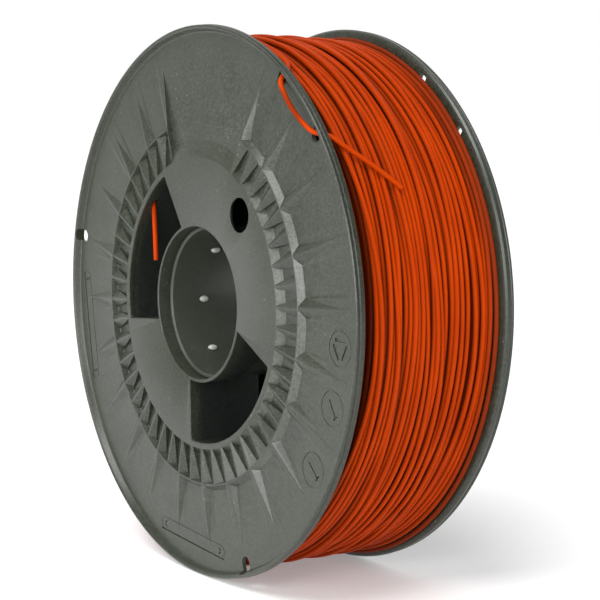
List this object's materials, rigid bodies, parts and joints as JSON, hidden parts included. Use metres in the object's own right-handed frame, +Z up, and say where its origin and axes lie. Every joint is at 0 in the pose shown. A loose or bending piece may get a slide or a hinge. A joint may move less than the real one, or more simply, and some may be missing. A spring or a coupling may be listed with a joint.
{
  "type": "filament spool",
  "caption": "Full spool of 3-D printer filament: two moulded flanged halves pushed together round an open bore, wound with orange filament whose end is tucked through the rim slots.",
  "frame": {"origin": "on the standing surface, under the middle of the spool as it stands on its two rims", "axes": "Y along the axle, with the front face towards -Y; +Z up; +X to the right when the front face is looked at"},
  "size_m": [0.1998, 0.0663, 0.1998],
  "materials": {
    "grey_plastic": "finely textured, slightly satin",
    "orange_filament": "extruded, semi-gloss"
  },
  "bodies": {
    "root": {"front_half": "grey_plastic", "rear_half": "grey_plastic", "filament_winding": "orange_filament", "filament_inner_end": "orange_filament", "filament_outer_tail": "orange_filament"}
  },
  "joints": []
}
